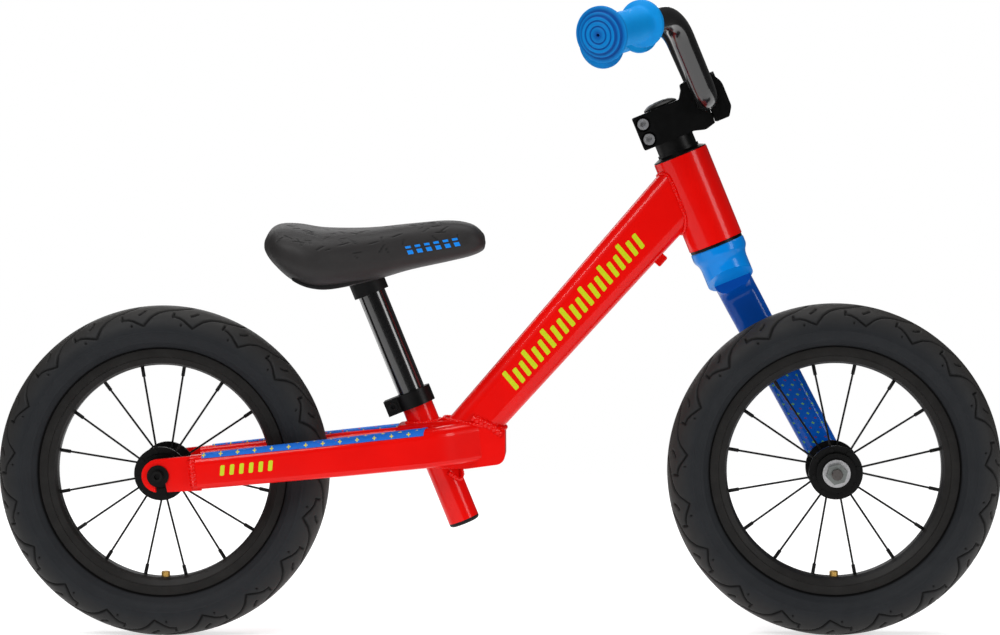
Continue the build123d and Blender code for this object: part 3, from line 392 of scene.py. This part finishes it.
floor_finish = Finish("studio_floor", Specular_IOR_Level=0.1, Emission_Strength=0.62)
floor_finish.shade("Emission Color", (1, 1, 1, 1))
floor_tint = floor_finish.mix(floor_finish.noise(3, 3), colour(214, 214, 214), colour(220, 220, 220))
floor_finish.shade("Base Color", floor_tint)
floor_finish.shade("Roughness", 0.85 + 0.1 * floor_finish.noise(40, 3))
disc("studio_floor", 1.3, floor_finish)

world = bpy.data.worlds.new("studio")
world.use_nodes = True
scene.world = world
backdrop = world.node_tree.nodes["Background"]
backdrop.inputs["Color"].default_value = (1, 1, 1, 1)
backdrop.inputs["Strength"].default_value = 0.07
seen = world.node_tree.nodes.new("ShaderNodeBackground")
seen.inputs["Color"].default_value = (1, 1, 1, 1)
seen.inputs["Strength"].default_value = 1.0
ray = world.node_tree.nodes.new("ShaderNodeLightPath")
choice = world.node_tree.nodes.new("ShaderNodeMixShader")
world.node_tree.links.new(ray.outputs["Is Camera Ray"], choice.inputs[0])
world.node_tree.links.new(backdrop.outputs[0], choice.inputs[1])
world.node_tree.links.new(seen.outputs[0], choice.inputs[2])
world.node_tree.links.new(choice.outputs[0], world.node_tree.nodes["World Output"].inputs["Surface"])


# ---------------------------------------------------------------- mesh pieces

def grid_faces(rows, columns, wrap_rows, wrap_columns):
    """Four-sided faces over a grid of points, row by row, that may close on itself either way."""
    row = np.arange(rows if wrap_rows else rows - 1)[:, None]
    column = np.arange(columns if wrap_columns else columns - 1)[None, :]
    here, there = row * columns, (row + 1) % rows * columns
    left, right = column, (column + 1) % columns
    return np.stack([here + left, here + right, there + right, there + left], -1).reshape(-1, 4)


def make_piece(name, points, faces, finish, body, readings=None):
    """A smooth mesh piece, in metres, that rides on a body."""
    mesh = bpy.data.meshes.new(name)
    mesh.from_pydata(np.asarray(points, float).tolist(), [], [tuple(face) for face in faces])
    mesh.polygons.foreach_set("use_smooth", [True] * len(mesh.polygons))
    for reading, values in (readings or {}).items():
        mesh.attributes.new(reading, "FLOAT", "POINT").data.foreach_set("value", np.ravel(values))
    mesh.materials.append(finish.material)
    mesh.update()
    piece = bpy.data.objects.new(name, mesh)
    bpy.context.scene.collection.objects.link(piece)
    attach(piece, body)
    return piece


def line_distance(across, along, lines):
    """Distance from each place to the nearest of some broken lines."""
    nearest = np.full(np.broadcast(across, along).shape, 1000.0)
    for line in lines:
        for (a, b), (c, d) in zip(line, line[1:]):
            share = ((across - a) * (c - a) + (along - b) * (d - b)) / ((c - a) ** 2 + (d - b) ** 2)
            share = np.clip(share, 0, 1)
            nearest = np.minimum(nearest, np.hypot(across - a - share * (c - a), along - b - share * (d - b)))
    return nearest


# ---------------------------------------------------------------- tyres

TREAD_REPEATS = 19
REPEAT_STEPS = 60
SECTION_STEPS = 60
BEAD_ANGLE = -53.6
HALF_WIDTH, HALF_HEIGHT = 25.0, 21.5
CENTRE_R = 131.0
TURN_MM = 2.53
RISE_MM = 0.41
# Scalloped grooves of one repeat: degrees round the wheel, and degrees up the tyre's section
SCALLOPS = [
    [(8.1, 37.0), (6.2, 35.2), (4.3, 29.2), (2.3, 20.4), (0.3, 13.0)],
    [(0.3, 13.0), (-0.9, 21.6), (-2.6, 34.6), (-5.2, 47.7), (-8.2, 55.4), (-12.1, 61.5), (-15.5, 72), (-17, 83)],
    [(8.3, 35.0), (8.1, 47.0)],
    [(1.8, 44.6), (0.6, 50.0), (-0.3, 57.5)],
    [(4.9, 16.3), (4.9, 17.0)],
]


def tread_cut(turn, rise):
    """How deep the tread is cut at places of one repeat: 0 on the rubber, 1 at the floor of a groove."""
    lines = [[((t + shift) * TURN_MM, r * RISE_MM) for t, r in line]
             for line in SCALLOPS for shift in (-19 * 360 / 361, 0, 19 * 360 / 361)]
    distance = line_distance(turn * TURN_MM, rise * RISE_MM, lines)
    return np.clip(1.8 - distance / 0.75, 0, 1)


def tyre(name, axle, cusp, body):
    """Tyre with scalloped shoulder grooves on both sides, ribs on its walls and beads in the rim; near-black shade
    is painted into the grooves and the bead gap.
    """
    period = 360 / TREAD_REPEATS
    turn = (np.arange(REPEAT_STEPS) / REPEAT_STEPS - 0.5) * period
    rise = np.linspace(BEAD_ANGLE, 90, SECTION_STEPS)
    near_cut = tread_cut(turn[:, None], rise[None, :])
    far_turn = (turn + period) % period - period / 2
    far_cut = tread_cut(far_turn[:, None], rise[None, ::-1])
    cut = np.concatenate([near_cut, far_cut[:, 1:]], 1)
    # The bead edges are marked as cut: this dents them and paints them near-black as shade in the gap at the rim.
    cut[:, :3] = cut[:, -3:] = 1
    angles = np.radians(np.concatenate([rise, 180 - rise[::-1][1:]]))
    wall = np.degrees(np.arcsin(np.sin(angles)))
    rib = 0.9 * np.exp(-((wall + 5.5) / 1.8) ** 2) + 0.6 * np.exp(-((wall + 30) / 1.8) ** 2)
    depth = 1.5 * cut - rib[None, :]
    across = -(HALF_WIDTH - 0.3 - depth) * np.cos(angles)[None, :]
    radius = CENTRE_R + (HALF_HEIGHT - depth * (wall > 0)[None, :]) * np.sin(angles)[None, :]
    inside = [(14.0, 113.9), (11.5, 113.9), (11.4, 104.6), (9.3, 104.6), (9.3, 117.0)]
    inside += [(22 * cos(a), CENTRE_R + 18.5 * sin(a)) for a in np.radians(np.linspace(-40, 90, 12))]
    inside += [(-a, b) for a, b in reversed(inside[:-1])]
    inner_across = np.array([a for a, _ in inside])
    inner_radius = np.array([b for _, b in inside])
    steps = REPEAT_STEPS
    across = np.concatenate([across, np.tile(inner_across, (steps, 1))], 1)
    radius = np.concatenate([radius, np.tile(inner_radius, (steps, 1))], 1)
    cut = np.concatenate([cut, np.zeros((steps, len(inside)))], 1)
    crown = np.concatenate([np.clip(wall / 60, 0, 1), np.zeros(len(inside))])
    columns = across.shape[1]
    across = np.tile(across, (TREAD_REPEATS, 1))
    radius = np.tile(radius, (TREAD_REPEATS, 1))
    rows = len(across)
    angle = np.radians(cusp + np.arange(rows) * 360 / rows - period / 2)[:, None]
    points = np.stack([
        axle.x + radius * np.cos(angle) * MM, across * MM, axle.z + radius * np.sin(angle) * MM,
    ], -1).reshape(-1, 3)
    # The cut reading carries the painted groove and bead shade to the tyre material.
    readings = {"cut": np.tile(cut, (TREAD_REPEATS, 1)), "crown": np.tile(crown, (rows, 1))}
    faces = grid_faces(rows, columns, True, True)
    return make_piece(name, points, faces, tyre_rubber, body, readings)


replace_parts(tyre("rear_tyre_tread", REAR_AXLE, 95.8, "rear_wheel"), "rear_tyre")
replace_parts(tyre("front_tyre_tread", FRONT_AXLE, 97.1, "front_wheel"), "front_tyre")


# ---------------------------------------------------------------- saddle

SADDLE = np.array([
    (-210.4, 12, 363, 359.5), (-209.3, 38, 368.5, 354), (-201, 60, 378.7, 342.5), (-183, 71, 379.6, 327.3),
    (-158, 71.5, 376, 319.6), (-118, 52, 375.8, 326.3), (-80, 36, 379.3, 337), (-45, 29, 382, 344.5),
    (-24, 25.5, 379, 349.5), (-13, 18, 370.5, 354.5), (-10.6, 6, 363, 360),
])
SADDLE_STEPS = 26
SADDLE_ROUND = 360


def smooth_rows(rows, steps):
    """Rows passed through smoothly, with steps between each two."""
    padded = np.concatenate([2 * rows[:1] - rows[1:2], rows, 2 * rows[-1:] - rows[-2:-1]])
    out = []
    for a, b, c, d in zip(padded, padded[1:], padded[2:], padded[3:]):
        for share in np.arange(steps) / steps:
            out.append(b + share * (c - a) / 2 + share ** 2 * (a - 2.5 * b + 2 * c - d / 2)
                       + share ** 3 * (1.5 * (b - c) + (d - a) / 2))
    return np.array(out + [rows[-1]])


def saddle_dashes():
    """Short strokes pressed into the foam: places along the saddle and round its section, in millimetres."""
    chance = random.Random(11)
    strokes = []
    for _ in range(190):
        x = chance.uniform(-200, -30)
        t = chance.uniform(-85, 85)
        turn = chance.uniform(0, pi)
        half = chance.uniform(2.5, 5.5)
        run, climb = half * cos(turn), half * sin(turn)
        strokes.append([(x - run, t - climb), (x + run, t + climb)])
    return strokes


def saddle():
    """Saddle pad: wide and lipped at the back, narrow at the nose, with pressed strokes that are painted near-black
    as shade.
    """
    rows = smooth_rows(SADDLE, SADDLE_STEPS)
    around = np.linspace(0, 2 * pi, SADDLE_ROUND, endpoint=False)
    side, up = np.sin(around), np.cos(around)
    x = np.repeat(rows[:, :1], SADDLE_ROUND, 1)
    half_width, top, bottom = rows[:, 1:2], rows[:, 2:3], rows[:, 3:4]
    level = bottom + 0.46 * (top - bottom)
    y = half_width * np.sign(side) * np.abs(side) ** 0.72
    height = np.where(up > 0, top - level, level - bottom)
    z = level + height * np.sign(up) * np.abs(up) ** 0.8
    girth = np.where(up > 0, 1, 0) * y + np.sign(side) * np.where(up > 0, (top - z), 200)
    strokes = saddle_dashes()
    # The pressed mask dents the foam and, through the press reading, paints near-black shade into the strokes.
    pressed_and_shaded = np.clip(1.3 - line_distance(x, girth, strokes) / 0.75, 0, 1)
    pressed_and_shaded = pressed_and_shaded * (np.abs(up[None, :]) > 0.02)
    z = z - 0.6 * pressed_and_shaded * up[None, :]
    y = y - 0.6 * pressed_and_shaded * side[None, :]
    points = np.stack([x, y, z], -1).reshape(-1, 3) * MM
    count = len(rows)
    faces = grid_faces(count, SADDLE_ROUND, False, True).tolist()
    faces += [list(range(SADDLE_ROUND))[::-1], list(range((count - 1) * SADDLE_ROUND, count * SADDLE_ROUND))]
    return make_piece("saddle_foam_pad", points, faces, saddle_foam, "seat", {"press": pressed_and_shaded})


saddle_piece = saddle()
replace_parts(saddle_piece, "saddle_pad")


# ---------------------------------------------------------------- grips

GRIP_PROFILE = [
    (-80.9, 11.3), (-81, 20.2), (-80.2, 20.8), (-77.4, 20.8), (-76, 20.2), (-74.2, 17.2), (-72, 15.6), (-70, 15.2),
    (-60, 14.9), (-45, 15.2), (-30, 14.9), (-14, 15.1), (-10, 15.5), (-7.6, 17.6), (-6, 22.6), (-5.3, 23.8),
    (-4.2, 24.2), (-2.4, 24.2), (-1.6, 23.6), (-1.5, 20.2), (-1.3, 19.6), (0.7, 19.5), (1.3, 19.0), (1.4, 16.4),
    (1.6, 15.9), (3.4, 15.7), (3.9, 15.2), (4.0, 13.0), (3.2, 12.5), (3.2, 11.7), (4.1, 11.2), (4.2, 8.3),
    (3.4, 7.8), (3.4, 7.0), (4.3, 6.5), (4.4, 1.7), (4.0, 1.3), (0.5, 1.2),
]


def flange_shade(along, radius):
    """How dark the grip is painted at a place: a slightly darker tone over the flange, and painted shade deepest in
    the rings cut in its end.
    """
    ring = any(abs(radius - edge) < 0.6 for edge in (20.0, 16.2, 12.2, 7.4, 1.4))
    return 0.0 if along < -8 else 0.9 if ring and along > -1.6 else 0.3


def lathe(name, profile, origin, axis, finish, body, segments=96):
    """A turned piece about an axis: profile points are (distance along the axis, radius) in millimetres."""
    axis = Vector(axis).normalized()
    across = axis.cross(Vector((0, 0, 1))).normalized()
    other = axis.cross(across)
    points = []
    for step in range(segments):
        angle = 2 * pi * step / segments
        spoke = across * cos(angle) + other * sin(angle)
        points += [origin + axis * (along * MM) + spoke * (radius * MM) for along, radius in profile]
    faces = grid_faces(segments, len(profile), True, False)
    # Per-point darkness for the grip: painted shade in the end rings and a darker flange tone.
    shades = [flange_shade(*place) for place in profile] * segments
    return make_piece(name, points, faces, finish, body, {"flange": shades})


def bar_end(side, sign):
    """Outer end of the handlebar tube and the direction it points."""
    corner = Vector((159.0, sign * 85, 565.0)) * MM
    end = Vector((94.8, sign * 207, 545.6)) * MM
    return end, (end - corner).normalized()


for side, sign in SIDES:
    end, outward = bar_end(side, sign)
    profile = GRIP_PROFILE + [(0.5, 11.2), (-80.9, 11.2)]
    grip = lathe(f"grip_rubber_{side}", profile, end, outward, grip_rubber, "handlebar")
    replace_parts(grip, f"grip_{side}")


# ---------------------------------------------------------------- weld beads

def weld(name, corners, closed=True, radius=2.4, pitch=3.4, body="frame"):
    """A run of overlapping weld puddles along a smooth line through the corners."""
    rows = np.array([tuple(corner) for corner in corners])
    if closed:
        rows = np.concatenate([rows[-2:], rows, rows[:2]])
    line = smooth_rows(rows, 24)
    if closed:
        line = line[24 * 2:24 * (2 + len(corners))]
    steps = np.linalg.norm(np.diff(np.concatenate([line, line[:1]] if closed else [line]), axis=0), axis=1)
    travel = np.concatenate([[0], np.cumsum(steps)])
    length = travel[-1]
    puddles = max(3, round(length / (pitch * MM)))
    count = puddles * 9
    share = np.arange(count) / count if closed else np.linspace(0, 1, count)
    source = np.concatenate([line, line[:1]]) if closed else line
    centre = np.stack([np.interp(share * length, travel, source[:, axis]) for axis in range(3)], 1)
    ahead = np.roll(centre, -1, 0) - np.roll(centre, 1, 0)
    if not closed:
        ahead[0], ahead[-1] = centre[1] - centre[0], centre[-1] - centre[-2]
    ahead /= np.linalg.norm(ahead, axis=1)[:, None]
    helper = np.cross(ahead, np.tile((0.3, 0.2, 1.0), (count, 1)))
    helper /= np.linalg.norm(helper, axis=1)[:, None]
    other = np.cross(ahead, helper)
    ripple = 0.72 + 0.28 * np.abs(np.cos(share * puddles * pi)) ** 0.6
    sides = 14
    angle = np.arange(sides) * 2 * pi / sides
    points = (centre[:, None, :] + radius * MM * ripple[:, None, None] * (
        helper[:, None, :] * np.cos(angle)[None, :, None] + other[:, None, :] * np.sin(angle)[None, :, None]))
    faces = grid_faces(count, sides, closed, True).tolist()
    if not closed:
        faces += [list(range(sides))[::-1], list(range((count - 1) * sides, count * sides))]
    return make_piece(name, points.reshape(-1, 3), faces, frame_paint, body)


def on_cylinder(origin, axis, radius, start, direction):
    """Where a line from start first meets a cylinder."""
    across = direction - axis * direction.dot(axis)
    offset = (start - origin) - axis * (start - origin).dot(axis)
    a, b, c = across.dot(across), 2 * offset.dot(across), offset.dot(offset) - radius ** 2
    root = sqrt(max(b * b - 4 * a * c, 0))
    return start + direction * ((-b - root) / (2 * a))


def rounded_loop(half_depth, half_width, count):
    """Points round a rounded rectangle."""
    points = []
    for step in range(count):
        angle = 2 * pi * (step + 0.5) / count
        a, b = cos(angle), sin(angle)
        reach = (abs(a / half_depth) ** 5 + abs(b / half_width) ** 5) ** -0.2
        points.append((a * reach, b * reach))
    return points


head_weld = [
    on_cylinder(HEAD_FOOT, HEAD_UP, HEAD_R + 0.0006,
                DOWN_FOOT + DOWN_FRONT * (a * MM) + Vector((0, b * MM, 0)), DOWN_UP)
    for a, b in rounded_loop(25.6, 20.0, 28)
]
weld("weld_head_tube", head_weld, radius=1.6, pitch=2.6)


def shell_top(x, y):
    """Point on the sloping top of the junction shell, in millimetres."""
    return Vector((x, y, 200 - (x + 44) * 8 / 51)) * MM


down_weld = [shell_top(x, y) for x, y in [
    (-49, 0), (-48, 11), (-40, 17.6), (-26, 19.2), (-12, 19.2), (1, 17.6), (6, 11), (7, 0),
    (6, -11), (1, -17.6), (-12, -19.2), (-26, -19.2), (-40, -17.6), (-48, -11)]]
weld("weld_down_tube", down_weld, radius=2.0, pitch=3.2)


def seat_ring(height_at):
    """Ring where the seat tube meets a nearly level face, whose height at each place height_at gives."""
    front = Vector((SEAT_UP.z, 0, -SEAT_UP.x))
    ring = []
    for step in range(20):
        angle = 2 * pi * step / 20
        edge = SEAT_FOOT + (front * cos(angle) + Vector((0, sin(angle), 0))) * (SEAT_TUBE_R + 0.0011)
        rise = 0.08
        for _ in range(6):
            spot = edge + SEAT_UP * rise
            rise += (height_at(spot.x) - spot.z) / SEAT_UP.z
        ring.append(edge + SEAT_UP * rise)
    return ring


weld("weld_seat_tube_top", seat_ring(lambda x: 0.200 + (x + 0.044) * 0.1), radius=2.0, pitch=3.0)
weld("weld_seat_tube_foot", seat_ring(lambda x: 0.161 - (x + 0.090) * 5.5 / 60), radius=2.0, pitch=3.0)


def seat_side(angle, height, sign):
    """Point on the seat tube's wall, by degrees round from its front and millimetres up from its foot."""
    front = Vector((SEAT_UP.z, 0, -SEAT_UP.x))
    out = front * cos(radians(angle)) + Vector((0, sign * sin(radians(angle)), 0))
    return SEAT_FOOT + SEAT_UP * (height * MM) + out * (SEAT_TUBE_R + 0.0011)


def stay_point(along, out, up, sign):
    """Point near a chainstay: along it from its rear, out from the centre plane and up from its middle."""
    return STAY_FOOT + STAY_ALONG * (along * MM) + STAY_UP * (up * MM) + Vector((0, sign * out * MM, 0))


for side, sign in SIDES:
    ring = [stay_point(-3.6, 47.2, up, sign) for up in (-11.8, -7, -2.4, 2.4, 7, 11.8)]
    weld(f"weld_dropout_{side}", ring, closed=False, radius=3.6, pitch=3.2)
    run = [Vector((x, sign * 17.8, z)) * MM for x, z in ((-23, 202.5), (-14, 198.5), (-5, 194), (4, 187.5))]
    gusset = [seat_side(angle, height, sign) for angle, height in ((8, 45), (28, 38), (48, 37), (72, 46))]
    weld(f"weld_gusset_{side}", gusset, closed=False, radius=2.1, pitch=3.0)
    weld(f"weld_shell_corner_{side}", run, closed=False, radius=4.6, pitch=4.2)


# ---------------------------------------------------------------- printed bars

def print_bars(name, bars, place, body="frame"):
    """Thin raised bars, each (start, end, low, high, slant), laid on a surface by place(along, up, lift)."""
    points, faces = [], []
    for start, end, low, high, slant in bars:
        outline = [
            (start + 0.8, low), (end - 0.8, low), (end, low + 0.8), (end + slant, high - 0.8),
            (end + slant - 0.8, high), (start + slant + 0.8, high), (start + slant, high - 0.8), (start, low + 0.8),
        ]
        base = len(points)
        for lift in (-0.1, 0.22):
            points += [place(along, up, lift) for along, up in outline]
        faces.append(tuple(range(base + 8, base + 16)))
        faces.append(tuple(range(base + 7, base - 1, -1)))
        faces += [(base + k, base + (k + 1) % 8, base + 8 + (k + 1) % 8, base + 8 + k) for k in range(8)]
    mesh = bpy.data.meshes.new(name)
    mesh.from_pydata([tuple(point) for point in points], [], faces)
    mesh.materials.append(lime_print.material)
    piece = bpy.data.objects.new(name, mesh)
    bpy.context.scene.collection.objects.link(piece)
    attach(piece, body)
    return piece


DOWN_BARS = [
    (60 + 8.6 * k, 60 + 8.6 * k + 4.6, -7.5, 7.5 if k % 3 else 12.5, 2.5) for k in range(21)
]
STAY_BARS = [(21 + 8.8 * k, 25 + 8.8 * k, -4.8, 4.6, 1.5) for k in range(6)]

for side, sign in SIDES:
    def on_down_tube(along, up, lift, sign=sign):
        out = 19 + along / 304 + lift
        return DOWN_FOOT + DOWN_UP * (along * MM) - DOWN_FRONT * (up * MM) + Vector((0, sign * out * MM, 0))

    def on_stay(along, up, lift, sign=sign):
        return stay_point(along, 49 + (along + 5) / 67.5 + lift, up, sign)

    print_bars(f"down_tube_bars_{side}", DOWN_BARS, on_down_tube)
    print_bars(f"stay_bars_{side}", STAY_BARS, on_stay)


# ---------------------------------------------------------------- finishes on the CAD pieces

def dress(finish, *names):
    """Give CAD pieces a finish."""
    for name in names:
        for slot in cad[name].material_slots:
            slot.material = finish.material


dress(frame_paint, "head_tube", "junction_shell", "seat_tube", "down_tube", "down_tube_boss",
      "chainstay_right", "chainstay_left", "dropout_right", "dropout_left")
dress(crown_paint, "fork_crown")
dress(fork_paint, "fork_leg")
dress(foot_tape, "foot_grip_right", "foot_grip_left")
dress(gloss_black, "seat_post", "handlebar")
dress(anodised, "stem_body", "stem_faceplate", "headset_cover", "headset_spacer", "top_cap", "seat_clamp_collar",
      "front_hub_shell", "rear_hub_shell", "steerer_tube", "crown_race", "compression_ring", "rear_axle_washers")
dress(rim_black, "front_rim", "rear_rim")
dress(moulded_black, "saddle_socket", "saddle_base", "seat_tube_plug")
dress(spoke_black, "front_spokes", "rear_spokes", "front_spoke_nipples", "rear_spoke_nipples", "rear_axle_bolts",
      "seat_clamp_bolt", "faceplate_bolts", "top_cap_bolt", "front_hub_bearings", "rear_hub_bearings",
      "headset_bearings", "star_nut", "front_axle_spacers", "rear_axle_spacers", "rear_axle")
dress(bright_steel, "stem_pinch_bolts", "front_axle_washers")
dress(nut_steel, "front_axle_nuts")
dress(axle_steel, "front_axle")
dress(brass, "front_valve", "rear_valve")
dress(butyl, "front_inner_tube", "rear_inner_tube")
